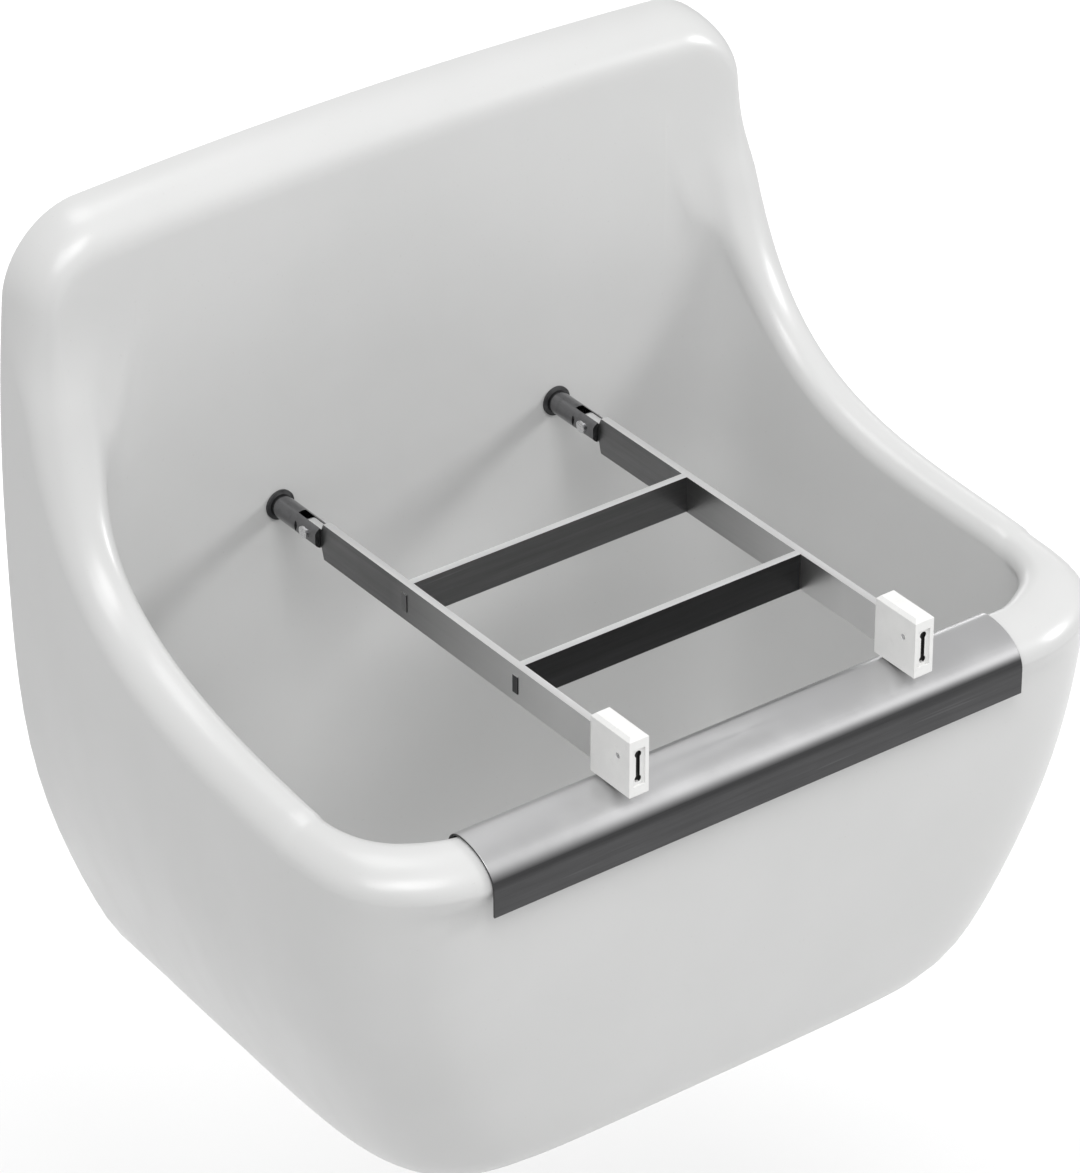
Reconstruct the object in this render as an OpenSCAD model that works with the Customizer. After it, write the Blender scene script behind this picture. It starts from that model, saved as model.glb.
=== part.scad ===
// Wall-hung mop service sink with a fold-up bucket grating.
// Millimetres. X to the right, front face toward -Y, wall plane at y = 0, Z up.
// The origin is on the wall plane, level with the top of the edge guard.

/* [Basin outline] */
// width of the basin where it meets the wall
body_w = 544; // [500:1:600]
// how far the basin stands out from the wall
body_d = 402; // [370:1:440]
// how much each side widens toward the front
side_flare = 20; // [0:1:30]
// height of the splashback above the rim
splash_h = 261; // [220:1:320]
// how much lower the splashback is at its ends
splash_arch = 6; // [0:1:15]
// radius of the upper splashback corners
splash_r = 52; // [40:1:70]
// share of the width lost at the top of the splashback
splash_taper = 0.05; // [0:0.01:0.08]
// depth of the basin below the rim
body_h = 300; // [285:1:320]
// how much the underside rises toward the front
floor_lift = 19; // [0:1:30]
// inward lean of the lower sides
side_lean = 72; // [60:1:85]
// angle of the lower sides
side_angle = 24; // [20:1:28]
// inward lean of the lower front
front_lean = 41; // [30:1:50]
// angle of the lower front
front_angle = 15; // [10:1:20]
// squareness of the outer shape
body_power = 14; // [10:1:18]
// squareness of the outer shape in plan
plan_power = 9; // [7:1:14]

/* [Basin rim] */
// thickness of the splashback slab
slab_t = 38; // [34:1:44]
// rounding of the slab's front edge
slab_r = 26; // [20:1:30]
// rounding of the slab's side edges
slab_side_r = 16; // [12:1:20]
// width of the side rims
side_rim_w = 34; // [28:1:38]
// width of the front rim
front_rim_w = 40; // [36:1:44]
// height of the outer rounding on the side rims
side_rim_r = 19; // [14:1:22]
// height of the inner rounding on the side rims
side_lip_r = 12; // [9:1:14]
// height of the outer rounding on the front rim
front_rim_r = 20; // [16:1:24]
// height of the inner rounding on the front rim
lip_r = 9; // [7:1:12]
// plan radius of the front corners
corner_r = 88; // [75:1:100]
// extra width of the rim at the front corners
corner_extra = 6; // [0:1:10]

/* [Basin inside] */
// thickness of the lower ceramic walls
wall = 15; // [13:1:20]
// thickness of the ceramic in front of the rear hollows
web_t = 14; // [12:1:18]
// thickness of the floor at its edges
floor_t = 32; // [28:1:60]
// fall of the floor toward the waste
floor_dip = 7; // [4:1:10]
// forward lean of the bowl's rear wall
rear_angle = 14.7; // [10:0.1:18]
// depth below the rim where the rear wall begins to lean
rear_crease = 45; // [35:1:55]
// squareness of the bowl
bowl_power = 9; // [7:1:12]
// distance of the waste outlet from the wall
waste_y = 205; // [190:1:220]

/* [Wall fixing] */
// spacing of the wall bolt holes
bolt_span = 280; // [240:1:320]
// depth of the wall bolt holes below the rim
bolt_drop = 150; // [130:1:170]
// thickness of the wall panel
panel_t = 14; // [12:1:18]
// width of the centre rib behind the splashback
rib_w = 24; // [18:1:40]
// inner diameter of the bushes in the wall panel
bush_bore = 11; // [9:0.5:13]
// wall thickness of the bushes
bush_t = 1.5; // [1:0.1:2]

/* [Edge guard] */
// straight rim left free beyond the guard's left end
guard_gap_left = 0; // [0:1:30]
// straight rim left free beyond the guard's right end
guard_gap_right = 16; // [0:1:30]
// sheet thickness of the edge guard
guard_t = 1.5; // [1:0.1:2.5]
// thickness of the silicone strips under the guard
strip_t = 1; // [0.6:0.1:2]
// height of the guard's front flange
guard_front_h = 39; // [32:1:48]
// height of the guard's inner flange
guard_back_h = 30; // [20:1:38]

/* [Grating] */
// distance between the middles of the side bars
bar_span = 211; // [180:1:240]
// sideways shift of the grating
grating_shift = 6; // [-10:1:10]
// thickness of the flat bars
bar_t = 5; // [4:0.5:6]
// height of the flat bars
bar_h = 25; // [22:1:28]
// distance of the rear cross bar from the wall
cross_y1 = 174; // [160:1:200]
// distance between the cross bars
cross_pitch = 112; // [90:1:120]
// height of the cross bar tenons
tenon_h = 12; // [8:1:16]
// play around the tenons
tenon_play = 0.1; // [0.05:0.01:0.2]

/* [Buffers] */
// width of the buffers
buffer_w = 14; // [12:0.5:18]
// height of the buffers
buffer_h = 42; // [38:1:48]
// length of the buffers
buffer_l = 37; // [32:1:42]
// height of the bars above the buffers' feet
bar_lift = 5.7; // [4:0.1:8]
// bevel on the buffer edges
buffer_bevel = 2.2; // [1:0.1:3]
// gap between a resting buffer and the guard
rest_gap = 0.3; // [0.2:0.05:0.5]
// depth of the recess in the buffer's front
recess_depth = 1.2; // [0.8:0.1:2]
// depth of the slot in the recess
slot_depth = 2; // [1:0.1:3]
// width of the slot in the recess
slot_w = 3; // [2:0.5:4]
// diameter of the buffer pins
buffer_pin_d = 4; // [3:0.5:5]
// play between a bar and its buffer
buffer_play = 0.15; // [0.1:0.01:0.3]

/* [Hinges] */
// diameter of the hinge studs
stud_d = 15; // [14:0.5:18]
// distance of the hinge pins from the splashback
pin_reach = 36; // [32:1:42]
// height of the hinge pins above the rim
pin_z = 20; // [18:1:24]
// length of the fork in front of the pin
fork_front = 12; // [10:1:15]
// length of the fork behind the pin
fork_back = 11; // [10:1:15]
// play on each side of a bar in its fork
fork_play = 0.25; // [0.15:0.05:0.4]
// diameter of the hinge pins
hinge_pin_d = 5; // [4:0.5:6]
// radial play between a bar and its hinge pin
pin_play = 0.06; // [0.03:0.01:0.09]
// diameter of the hinge pin heads
pin_head_d = 8; // [7:0.5:9]
// height of the hinge pin heads
pin_head_h = 1.2; // [0.8:0.1:2]
// diameter of the threaded stud shanks
shank_d = 8; // [6:0.5:10]
// radial play between a shank and the ceramic
shank_play = 2; // [1:0.1:3]
// diameter of the washers on the splashback
rosette_d = 20; // [19:0.5:28]
// thickness of the washers on the splashback
rosette_t = 1.5; // [1:0.1:3]
// gap between those washers and the glaze
rosette_gap = 0.15; // [0.1:0.05:0.3]
// diameter of the washers behind the splashback
back_washer_d = 24; // [20:0.5:28]
// thickness of the rubber washers behind the splashback
back_rubber_t = 2; // [1.5:0.1:3]
// thickness of the steel washers behind the splashback
back_steel_t = 1.6; // [1:0.1:2.5]
// width across the flats of the stud nuts
stud_nut_w = 13; // [12:0.5:16]
// thickness of the stud nuts
stud_nut_t = 6.5; // [5:0.5:8]

/* [Waste outlet] */
// outer diameter of the threaded waste tail
tail_d = 48; // [42:0.5:54]
// wall thickness of the waste tail
tail_wall = 3; // [2:0.1:5]
// length of the waste tail below the basin
tail_l = 60; // [55:1:80]
// outer diameter of the plain spigot at the tail's end
spigot_d = 40; // [32:0.5:46]
// wall thickness of the spigot
spigot_wall = 2.5; // [2:0.1:4]
// length of the spigot
spigot_l = 42; // [30:1:44]
// radial play between the tail and the ceramic
tail_play = 2; // [1:0.1:3]
// diameter of the waste flange
flange_d = 82; // [76:1:90]
// thickness of the waste flange
flange_t = 3; // [2:0.1:4]
// thickness of the gaskets
gasket_t = 2.5; // [1.5:0.1:3.5]
// radial play around the flange
flange_play = 1.5; // [1:0.1:3]
// thickness of the ceramic under the flange
seat_t = 14; // [12:1:16]
// diameter of the strainer plate
strainer_d = 64; // [58:1:70]
// thickness of the strainer plate
strainer_t = 1.5; // [1:0.1:2]
// diameter of the strainer holes
strainer_hole_d = 6; // [4:0.5:7]
// diameter of the strainer screw
screw_d = 5; // [4:0.5:6]
// width across the flats of the back nut
backnut_w = 62; // [58:1:70]
// height of the back nut
backnut_h = 12; // [9:1:16]

/* [Hidden] */
$fn = 48;
eps = 0.01;
bore_fn = 48;

// Basin outline
half_w = body_w / 2;
front_half_w = half_w + side_flare;
outer_eye = [0, 0, -83];
crest_z = -guard_t - strip_t;
slab_x = half_w - splash_r;
slab_corner_z = splash_h - splash_arch - splash_r;
lower_half_w = half_w - side_lean;
lower_front = body_d - front_lean;
front_slope = 0.009;
front_swell = 4;
front_straight = front_half_w - corner_r;

// Bowl inside
bowl_h = body_h - floor_t;
bowl_half_w = half_w - side_rim_w;
bowl_front = body_d - front_rim_w;
bowl_draft = 0.05;
bowl_swell = 3.5;
bowl_eye = [0, -(slab_t + bowl_front) / 2, -40];
inner_corner_r = 45;
ring_z = -55;
rear_power = 60;
turn_share = 0.3;
hole_r = 12;

// Counts of the surface grid
top_n = 6;
top_corner_n = 5;
wing_n = 14;
corner_n = 7;
front_n = 3;
round_n = 5;
wall_n = 5;
bowl_n = 6;
floor_n = 4;
skin_n = 7;
under_n = 4;

// Waste outlet levels
waste_c = [0, -waste_y, 0];
drain_z = -bowl_h - floor_dip;
seat_r = flange_d / 2 + flange_play;
seat_z = drain_z - flange_t - gasket_t;
under_z = seat_z - seat_t;
under_r = backnut_w / 2 + 14;
tail_r = tail_d / 2;
tail_bore_r = tail_r - tail_wall;
spigot_r = spigot_d / 2;
spigot_bore_r = spigot_r - spigot_wall;
strainer_z = drain_z - strainer_t;
post_r = screw_d / 2 + 3;
backnut_z = under_z - gasket_t;

// Hinge positions
pin_y = -slab_t - pin_reach;
bar_x = bar_span / 2;
bar_bottom = rest_gap + bar_lift;
bar_top = bar_bottom + bar_h;
tongue_r = min(6.5, fork_back - 4);
fork_end_y = pin_y - fork_front;
slot_y = pin_y + fork_back;
stud_face_y = -slab_t - rosette_gap - rosette_t;
back_y = -slab_t + web_t;
nut_y = back_y + back_rubber_t + back_steel_t;
pocket_x = half_w * (1 - splash_taper) - 42;
pocket_top = splash_h - slab_r;
pocket_floor = -8;
web_z = pocket_floor - web_t;
bush_r = bush_bore / 2 + bush_t;

// Buffer positions
buffer_front_y = -body_d;
buffer_back_y = buffer_front_y + buffer_l;
bar_front_y = buffer_front_y + recess_depth + slot_depth + 2;
buffer_pin_y = bar_front_y + 6;
buffer_pin_z = bar_top - 5;

function mix(a, b, t) = a + (b - a) * t;
function ease(t) = let (c = max(0, min(1, t))) c * c * (3 - 2 * c);
function unit(v) = v / norm(v);
function bezier(a, b, c, d, t) =
  a * pow(1 - t, 3) + b * 3 * t * pow(1 - t, 2) + c * 3 * t * t * (1 - t) + d * pow(t, 3);

// A flat limit of a rounded body, as seen from a point inside it
function limit(n, p, eye) = n / (n * (p - eye));
function soft_max(list, power) =
  pow([for (v = list) pow(max(0, v), power)] * [for (v = list) 1], 1 / power);

flare = side_flare / body_d;
rise = floor_lift / body_d;
outer_limits = [
  limit([-1, flare, 0], [-half_w, 0, 0], outer_eye),
  limit([0, -1, -front_slope], [0, -body_d - front_swell, -front_rim_r], outer_eye),
  limit(
    [-cos(side_angle), flare * cos(side_angle), -sin(side_angle)],
    [-lower_half_w, 0, -body_h], outer_eye
  ),
  limit(
    [0, -cos(front_angle), -sin(front_angle)], [0, -lower_front, -body_h], outer_eye
  ),
  limit([0, -rise, -1], [0, -body_d / 2, -body_h], outer_eye)
];
inner_limits = [
  limit([-1, flare, -bowl_draft], [-bowl_half_w, 0, 0], bowl_eye),
  limit([0, -1, -front_slope], [0, -bowl_front - bowl_swell, -lip_r], bowl_eye),
  limit(
    [-cos(side_angle), flare * cos(side_angle), -sin(side_angle)],
    [-lower_half_w + wall / cos(side_angle), 0, -body_h], bowl_eye
  ),
  limit(
    [0, -cos(front_angle), -sin(front_angle)], [0, -lower_front + wall, -body_h], bowl_eye
  ),
  limit([0, 1, 0], [0, -slab_t, 0], bowl_eye),
  limit([0, cos(rear_angle), -sin(rear_angle)], [0, -slab_t, -rear_crease], bowl_eye),
  limit([0, 0, -1], [0, 0, -bowl_h], bowl_eye)
];

function outer(p) =
  let (
    d = p - outer_eye,
    g = [for (a = outer_limits) a * d],
    sides = soft_max([g[0], g[2]], body_power),
    front = soft_max([g[1], g[3]], body_power)
  )
  outer_eye + d / soft_max([soft_max([sides, front], plan_power), g[4]], body_power);
function inner(p) =
  let (
    d = p - bowl_eye,
    g = [for (a = inner_limits) a * d],
    rear = soft_max([g[4], g[5]], rear_power)
  )
  bowl_eye + d / soft_max([g[0], g[1], g[2], g[3], rear, g[6]], bowl_power);

// The five runs of stations round the left half of the rim
TOP = 0;
TOP_CORNER = 1;
WING = 2;
CORNER = 3;
FRONT = 4;
stations = concat(
  [for (i = [0 : top_n - 1]) [TOP, i / top_n]],
  [for (i = [0 : top_corner_n - 1]) [TOP_CORNER, i / top_corner_n]],
  [for (i = [0 : wing_n - 1]) [WING, i / wing_n]],
  [for (i = [0 : corner_n - 1]) [CORNER, i / corner_n]],
  [for (i = [0 : front_n]) [FRONT, i / front_n]]
);

// Point on a ring that follows the bowl in plan
function ring(s, hw, back, front, r, z) =
  let (
    run = s[0],
    f = s[1],
    a = 90 * f,
    b = 90 * f / turn_share,
    along = (f - turn_share) / (1 - turn_share)
  )
  run == TOP ? [-(hw - r) * 0.8 * f, -back, z] :
  run == TOP_CORNER ? [-(hw - r) * mix(0.8, 1, f), -back, z] :
  run == WING && f < turn_share ? [-(hw - r) - r * sin(b), -(back + r) + r * cos(b), z] :
  run == WING ? [-hw, -mix(back + r, front - r, along), z] :
  run == CORNER ? [-(hw - r) - r * cos(a), -(front - r) - r * sin(a), z] :
  [-(hw - r) * (1 - f), -front, z];

// Point on a ring that follows the outside and ends square at the wall
function skirt(s, hw, front, r, z) =
  let (run = s[0], f = s[1], a = 90 * f)
  run == TOP ? [-0.85 * hw * f, 0, z] :
  run == TOP_CORNER ? [-hw * mix(0.85, 1, f), 0, z] :
  run == WING ? [-hw, -(front - r) * f, z] :
  run == CORNER ? [-(hw - r) - r * cos(a), -(front - r) - r * sin(a), z] :
  [-(hw - r) * (1 - f), -front, z];

// Height line of the side rims, from the splashback to the front corner
wing_from = [0, -slab_t, slab_corner_z];
wing_to = [0, -(body_d - corner_r), 0];
function wing_line(t) =
  bezier(
    wing_from, wing_from + [0, -20, -0.9 * slab_corner_z],
    wing_to + [0, 180, 5], wing_to, t
  );
function wing_up(t) =
  let (d = unit(wing_line(t + 0.01) - wing_line(t - 0.01))) [0, d.z, -d.y];

// Rim section: outer foot, crest, inner foot, the directions there and the outer fullness
round_k = 0.5523;
slab_k = 0.69;
function slab_section(l, c, i, down) = [l, c, i, [0, -1, 0], down, down, slab_k];
function rim_section(l, inward, up, w, share, r_out, r_in) = [
  l, l + inward * w * share + up * r_out, l + inward * w + up * (r_out - r_in),
  up, inward, -up, round_k
];

// Inner feet on the splashback's face, at the ends of the top and at the start of the wings
top_foot = [-slab_x + 30, -slab_t, splash_h - splash_arch - slab_r - 14];
wing_foot = [slab_side_r - half_w + 54, -slab_t, slab_corner_z];

// Sections of the five runs
function top_section(f) =
  let (x = -slab_x * f, h = splash_h - splash_arch * f * f)
  slab_section(
    [x, 0, h], [x, -slab_t, h - slab_r], [top_foot.x * f, -slab_t, h - slab_r - 14], [0, 0, -1]
  );
function top_corner_section(f) =
  let (
    ray = [-sin(90 * f), 0, cos(90 * f)],
    c = [-slab_x, 0, slab_corner_z],
    l = c + splash_r * ray,
    r = mix(slab_r, slab_side_r, ease(f))
  )
  slab_section(l, c + (splash_r - r) * ray + [0, -slab_t, 0], mix(top_foot, wing_foot, f), -ray);
wing_blend = 0.14;
hold_blend = 0.17;
spread_w = 36;
spread_blend = 0.34;
side_share = 0.65;
front_share = 0.75;
function wing_section(f) =
  let (
    p = wing_line(f),
    up = wing_up(f),
    m = ease(f / wing_blend),
    clear = ease((f - 0.06) / 0.3),
    spread = spread_w * pow(max(0, 1 - f / spread_blend), 2),
    foot = p - up * side_rim_r,
    l = outer([-half_w + flare * foot.y, foot.y, foot.z]),
    inside = l + up * (side_rim_r - side_lip_r),
    i = [l.x + side_rim_w + spread, min(-slab_t, inside.y), inside.z],
    rim = [
      l, l + [side_rim_w * side_share, 0, 0] + up * side_rim_r, i,
      up, [1, 0, 0], mix([1, 0, 0], -up, clear), round_k
    ],
    slab = slab_section(
      [-half_w, 0, p.z], [slab_side_r - half_w, -slab_t, p.z],
      [wing_foot.x, -slab_t, p.z], [1, 0, 0]
    )
  )
  concat(
    [for (k = [0 : 2]) mix(slab[k], rim[k], m)],
    [for (k = [3 : 5]) unit(mix(slab[k], rim[k], m))],
    [mix(slab[6], rim[6], m)]
  );
function corner_section(f) =
  let (
    m = ease(f),
    inward = [cos(90 * f), sin(90 * f), 0],
    r_out = mix(side_rim_r, front_rim_r, m),
    z = mix(wing_to.z, crest_z, m),
    plan = [
      -front_straight - corner_r * inward.x,
      -(body_d - corner_r) - corner_r * inward.y,
      z - r_out
    ],
    l = mix(outer(plan), plan, m)
  )
  rim_section(
    l, inward, [0, 0, 1], mix(side_rim_w, front_rim_w, m) + corner_extra * sin(180 * f),
    mix(side_share, front_share, m), r_out, mix(side_lip_r, lip_r, m)
  );
function front_section(f) =
  rim_section(
    [-front_straight * (1 - f), -body_d, crest_z - front_rim_r],
    [0, 1, 0], [0, 0, 1], front_rim_w, front_share, front_rim_r, lip_r
  );
function section(s) =
  s[0] == TOP ? top_section(s[1]) :
  s[0] == TOP_CORNER ? top_corner_section(s[1]) :
  s[0] == WING ? wing_section(s[1]) :
  s[0] == CORNER ? corner_section(s[1]) :
  front_section(s[1]);

// Quarter round between two points with given directions
function quarter(p, q, dp, dq, k, t) =
  bezier(p, p + dp * k * abs((q - p) * dp), q - dq * round_k * abs((q - p) * dq), q, t);
function crest(g) = concat(
  [for (i = [0 : round_n]) quarter(g[0], g[1], g[3], g[4], g[6], i / round_n)],
  [for (i = [1 : round_n]) quarter(g[1], g[2], g[4], g[5], round_k, i / round_n)]
);

// How firmly a station's inner wall keeps to its straight line below the rim
function hold(s) =
  s[0] == WING ? 1 - ease(s[1] / hold_blend) :
  s[0] == CORNER ? ease(2 * s[1]) : 1;

// One closed loop of points at a station
function toward_waste(p, z) =
  let (d = unit([p.x, p.y + waste_y, 0])) waste_c + d * hole_r + [0, 0, z];
function bowl_side(g, s) =
  let (
    keep = hold(s),
    from = g[2],
    mid = inner(ring(s, bowl_half_w, slab_t, bowl_front, inner_corner_r, ring_z)),
    low = ring(
      s, lower_half_w - wall, slab_t + 72, lower_front - wall, inner_corner_r, -bowl_h
    ),
    hole = toward_waste(low, -bowl_h)
  )
  concat(
    [
      for (i = [1 : wall_n])
        let (p = mix(from, mid, i / wall_n))
          mix(inner(p), p, keep * (1 - ease(2 * i / wall_n)))
    ],
    [for (i = [1 : bowl_n]) inner(mix(mid, low, i / bowl_n))],
    [
      for (i = [1 : floor_n])
        inner(mix(low, hole, i / floor_n)) - [0, 0, floor_dip * ease(i / floor_n)]
    ]
  );
function skin_side(g, s) =
  let (
    low = outer(skirt(s, lower_half_w, lower_front, corner_r, -body_h)),
    hole = toward_waste(low, -body_h),
    flat = s[0] == TOP || s[0] == TOP_CORNER
  )
  concat(
    [for (i = [0 : under_n - 1]) outer(mix(hole, low, i / under_n))],
    [low],
    [
      for (i = [1 : skin_n - 1])
        let (p = mix(low, g[0], i / skin_n)) flat ? p : outer(p)
    ]
  );
function tapered(p) =
  let (f = max(0, (p.z - 60) / (splash_h - 60))) [p.x * (1 - splash_taper * f * f), p.y, p.z];
function seated(g, s) =
  [g[0], g[1], mix(inner(g[2]), g[2], hold(s)), g[3], g[4], g[5], g[6]];
function loop(s) =
  let (g = seated(section(s), s))
  [for (p = concat(crest(g), bowl_side(g, s), skin_side(g, s))) tapered(p)];

left_loops = [for (s = stations) loop(s)];
last = len(left_loops) - 1;
loops = concat(
  left_loops,
  [for (i = [last - 1 : -1 : 1]) [for (p = left_loops[i]) [-p.x, p.y, p.z]]]
);

module closed_grid(rows) {
  u = len(rows);
  v = len(rows[0]);
  polyhedron(
    points = [for (row = rows) each row],
    faces = [
      for (i = [0 : u - 1])
        for (j = [0 : v - 1])
          let (
            a = i * v + j,
            b = i * v + (j + 1) % v,
            c = ((i + 1) % u) * v + (j + 1) % v,
            d = ((i + 1) % u) * v + j
          )
          each [[a, b, c], [a, c, d]]
    ],
    convexity = 8
  );
}

// Shared small shapes
module along_y(y0, y1, r) {
  translate([0, y0, 0]) rotate([-90, 0, 0]) cylinder(r = r, h = y1 - y0);
}
module along_x(x0, x1, r) {
  translate([x0, 0, 0]) rotate([0, 90, 0]) cylinder(r = r, h = x1 - x0);
}
module box(lo, hi) {
  translate(lo) cube(hi - lo);
}
module tube(r, bore, z0, z1) {
  translate([0, 0, z0])
    difference() {
      cylinder(r = r, h = z1 - z0);
      translate([0, 0, -1]) cylinder(r = bore, h = z1 - z0 + 2);
    }
}
module hinge_pair() {
  for (side = [-1, 1]) translate([grating_shift + side * bar_x, 0, pin_z]) children();
}
module hinge_at(side) {
  translate([grating_shift + side * bar_x, 0, 0]) children();
}

// Basin
module splash_pockets() {
  for (side = [-1, 1])
    box(
      [side > 0 ? rib_w / 2 : -pocket_x, back_y, pocket_floor],
      [side > 0 ? pocket_x : -rib_w / 2, 1, pocket_top]
    );
}
module lower_hollow() {
  rear_t = web_t / cos(rear_angle);
  fall = tan(rear_angle);
  bottom = -body_h - 40;
  edge = [
    [-half_w + 28, web_z], [-half_w + 40, -bolt_drop],
    [-lower_half_w + 4, 50 - body_h], [-lower_half_w + 44, bottom]
  ];
  intersection() {
    translate([-half_w, 0, 0])
      rotate([90, 0, 90])
        linear_extrude(body_w)
          polygon([
            [-panel_t, web_z], [back_y, web_z], [rear_t - slab_t, -rear_crease],
            [rear_t - slab_t + (rear_crease + bottom) * fall, bottom], [-panel_t, bottom]
          ]);
    translate([0, 1, 0])
      rotate([90, 0, 0])
        linear_extrude(body_d)
          polygon(concat(edge, [for (p = reversed(edge)) [-p.x, p.y]]));
  }
}
module basin() {
  color([0.93, 0.93, 0.91])
    difference() {
      closed_grid(loops);
      splash_pockets();
      lower_hollow();
      for (side = [-1, 1])
        translate([side * bolt_span / 2, 0, -bolt_drop]) along_y(-panel_t - 1, 1, bush_r);
      hinge_pair() along_y(-slab_t - 1, back_y + 1, shank_d / 2 + shank_play);
      translate(waste_c) {
        translate([0, 0, under_z - 1])
          cylinder(r = tail_r + tail_play, h = seat_z - under_z + 2);
        translate([0, 0, seat_z]) cylinder(r = seat_r, h = 60);
        translate([0, 0, -body_h - 40]) cylinder(r = under_r, h = under_z + body_h + 40);
      }
    }
}
module wall_bushes() {
  color([0.2, 0.2, 0.2])
    for (side = [-1, 1])
      translate([side * bolt_span / 2, 0, -bolt_drop])
        difference() {
          along_y(-panel_t, 0, bush_r);
          along_y(-panel_t - 1, 1, bush_bore / 2);
        }
}

// Edge guard
front_rim = crest(front_section(1));
rim_curve = [for (p = front_rim) [p.y, p.z]];
function shifted(curve, d) = [
  for (i = [0 : len(curve) - 1])
    let (
      a = curve[max(0, i - 1)],
      b = curve[min(len(curve) - 1, i + 1)],
      t = unit(b - a),
      n = i == 0 ? [-1, 0] : i == len(curve) - 1 ? [1, 0] : [-t.y, t.x]
    )
    curve[i] + n * d
];
function ends_down(curve, z0, z1) = concat(
  [[curve[0].x, z0]], curve, [[curve[len(curve) - 1].x, z1]]
);
function reversed(list) = [for (i = [len(list) - 1 : -1 : 0]) list[i]];
module guard_extrude(inset) {
  left_x = -front_straight + guard_gap_left + inset;
  right_x = front_straight - guard_gap_right - inset;
  translate([left_x, 0, 0])
    rotate([90, 0, 90])
      linear_extrude(right_x - left_x)
        children();
}
module edge_guard() {
  under = ends_down(shifted(rim_curve, strip_t), -guard_front_h, -guard_back_h);
  over = ends_down(shifted(rim_curve, strip_t + guard_t), -guard_front_h, -guard_back_h);
  color([0.55, 0.56, 0.57])
    guard_extrude(0) polygon(concat(over, reversed(under)));
}
module guard_strips() {
  low = rim_curve;
  high = shifted(rim_curve, strip_t);
  color([0.85, 0.85, 0.83])
    guard_extrude(6)
      for (run = [[1, 2], [round_n - 1, round_n + 1]])
        polygon(concat(
          [for (i = [run[0] : run[1]]) low[i]],
          [for (i = [run[1] : -1 : run[0]]) high[i]]
        ));
}

// Hinge studs, fixed through the splashback
module hinge_stud(side) {
  shank_end = nut_y + stud_nut_t + 2;
  color([0.45, 0.46, 0.47])
    hinge_at(side) translate([0, 0, pin_z])
      difference() {
        union() {
          along_y(fork_end_y, stud_face_y, stud_d / 2);
          along_y(stud_face_y - 1, shank_end, shank_d / 2);
        }
        box(
          [-bar_t / 2 - fork_play, fork_end_y - 1, -stud_d],
          [bar_t / 2 + fork_play, slot_y, stud_d]
        );
        translate([0, pin_y, 0]) along_x(-stud_d, stud_d, hinge_pin_d / 2);
        for (cheek = [-1, 1])
          box(
            [cheek > 0 ? stud_d / 2 - 1 : -stud_d, fork_end_y - 1, -stud_d],
            [cheek > 0 ? stud_d : -stud_d / 2 + 1, slot_y - 2, stud_d]
          );
      }
}
module hinge_stud_left() {
  hinge_stud(-1);
}
module hinge_stud_right() {
  hinge_stud(1);
}
module hinge_pin(side) {
  flat_x = stud_d / 2 - 1;
  color([0.7, 0.7, 0.71])
    hinge_at(side) translate([0, pin_y, pin_z]) {
      along_x(-flat_x - 0.5, flat_x + 0.5, hinge_pin_d / 2);
      for (end = [-1, 1])
        translate([end > 0 ? flat_x : -flat_x - pin_head_h, 0, 0])
          along_x(0, pin_head_h, pin_head_d / 2);
    }
}
module hinge_pin_left() {
  hinge_pin(-1);
}
module hinge_pin_right() {
  hinge_pin(1);
}
module washer_pair(y0, y1, d, bore) {
  hinge_pair()
    difference() {
      along_y(y0, y1, d / 2);
      along_y(y0 - 1, y1 + 1, bore / 2);
    }
}
module stud_rosettes() {
  color([0.1, 0.1, 0.1]) washer_pair(stud_face_y, -slab_t - rosette_gap, rosette_d, shank_d + 0.4);
}
module stud_back_rubbers() {
  color([0.1, 0.1, 0.1])
    washer_pair(back_y, back_y + back_rubber_t, back_washer_d, shank_d + 0.4);
}
module stud_back_washers() {
  color([0.65, 0.65, 0.66])
    washer_pair(back_y + back_rubber_t, nut_y, back_washer_d - 2, shank_d + 0.4);
}
module stud_nuts() {
  color([0.6, 0.6, 0.61])
    hinge_pair()
      difference() {
        translate([0, nut_y, 0])
          rotate([-90, 0, 0]) cylinder(d = stud_nut_w / cos(30), h = stud_nut_t, $fn = 6);
        along_y(nut_y - 1, nut_y + stud_nut_t + 1, shank_d / 2);
      }
}

// Grating
cross_ys = [-cross_y1, -cross_y1 - cross_pitch];
tenon_z0 = bar_bottom + (bar_h - tenon_h) / 2;
module side_bar(side) {
  shoulder_y = fork_end_y - 1;
  shoulder_l = 2;
  color([0.5, 0.5, 0.51])
    hinge_at(side)
      difference() {
        union() {
          translate([-bar_t / 2, 0, 0])
            rotate([90, 0, 90])
              linear_extrude(bar_t)
                polygon([
                  [bar_front_y, bar_bottom], [bar_front_y, bar_top],
                  [shoulder_y - shoulder_l, bar_top], [shoulder_y, pin_z + tongue_r],
                  [pin_y, pin_z + tongue_r], [pin_y, pin_z - tongue_r],
                  [shoulder_y, pin_z - tongue_r], [shoulder_y - shoulder_l, bar_bottom]
                ]);
          translate([0, pin_y, pin_z]) along_x(-bar_t / 2, bar_t / 2, tongue_r);
        }
        translate([0, pin_y, pin_z]) along_x(-bar_t, bar_t, hinge_pin_d / 2 + pin_play);
        for (y = cross_ys)
          box(
            [-bar_t, y - bar_t / 2 - tenon_play, tenon_z0 - tenon_play],
            [bar_t, y + bar_t / 2 + tenon_play, tenon_z0 + tenon_h + tenon_play]
          );
        translate([0, buffer_pin_y, buffer_pin_z]) along_x(-bar_t, bar_t, buffer_pin_d / 2);
      }
}
module side_bar_left() {
  side_bar(-1);
}
module side_bar_right() {
  side_bar(1);
}
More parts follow.
